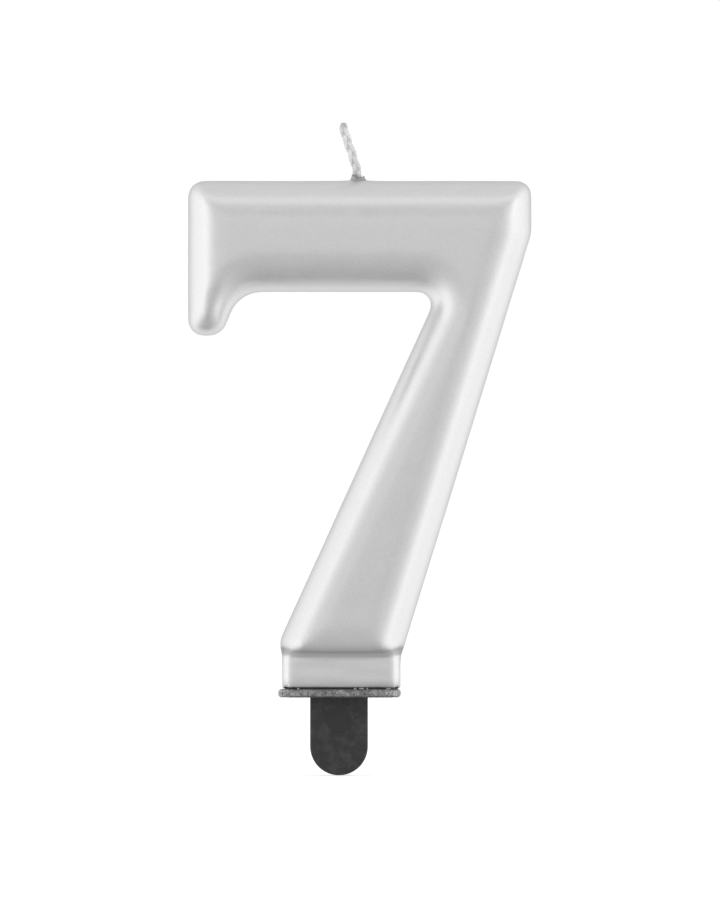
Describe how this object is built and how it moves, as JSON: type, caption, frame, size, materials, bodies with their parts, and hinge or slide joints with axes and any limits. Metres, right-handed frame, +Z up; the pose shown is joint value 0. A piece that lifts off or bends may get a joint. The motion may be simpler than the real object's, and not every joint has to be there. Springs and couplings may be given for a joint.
{
  "type": "numeral candle",
  "caption": "Birthday candle shaped as the numeral seven, rounded silver pearl lacquered wax with a short wick, on a black plastic holder with a flat tongue for the cake.",
  "frame": {"origin": "on the axis of the flat cake tongue, in the underside of the plate that rests on the cake", "axes": "+Z up, out of the cake and towards the wick; +X to the reader's right, along the numeral's top bar; -Y out of the front face, towards the reader"},
  "size_m": [0.0532, 0.014, 0.1011],
  "materials": {
    "wax": "satin",
    "silver_lacquer": "satin",
    "wick_cotton": "matte",
    "holder_black": "satin"
  },
  "bodies": {
    "root": {"wax_body": "wax", "lacquer_coat": "silver_lacquer", "wick": "wick_cotton", "wick_seal": "wax", "holder": "holder_black"}
  },
  "joints": []
}
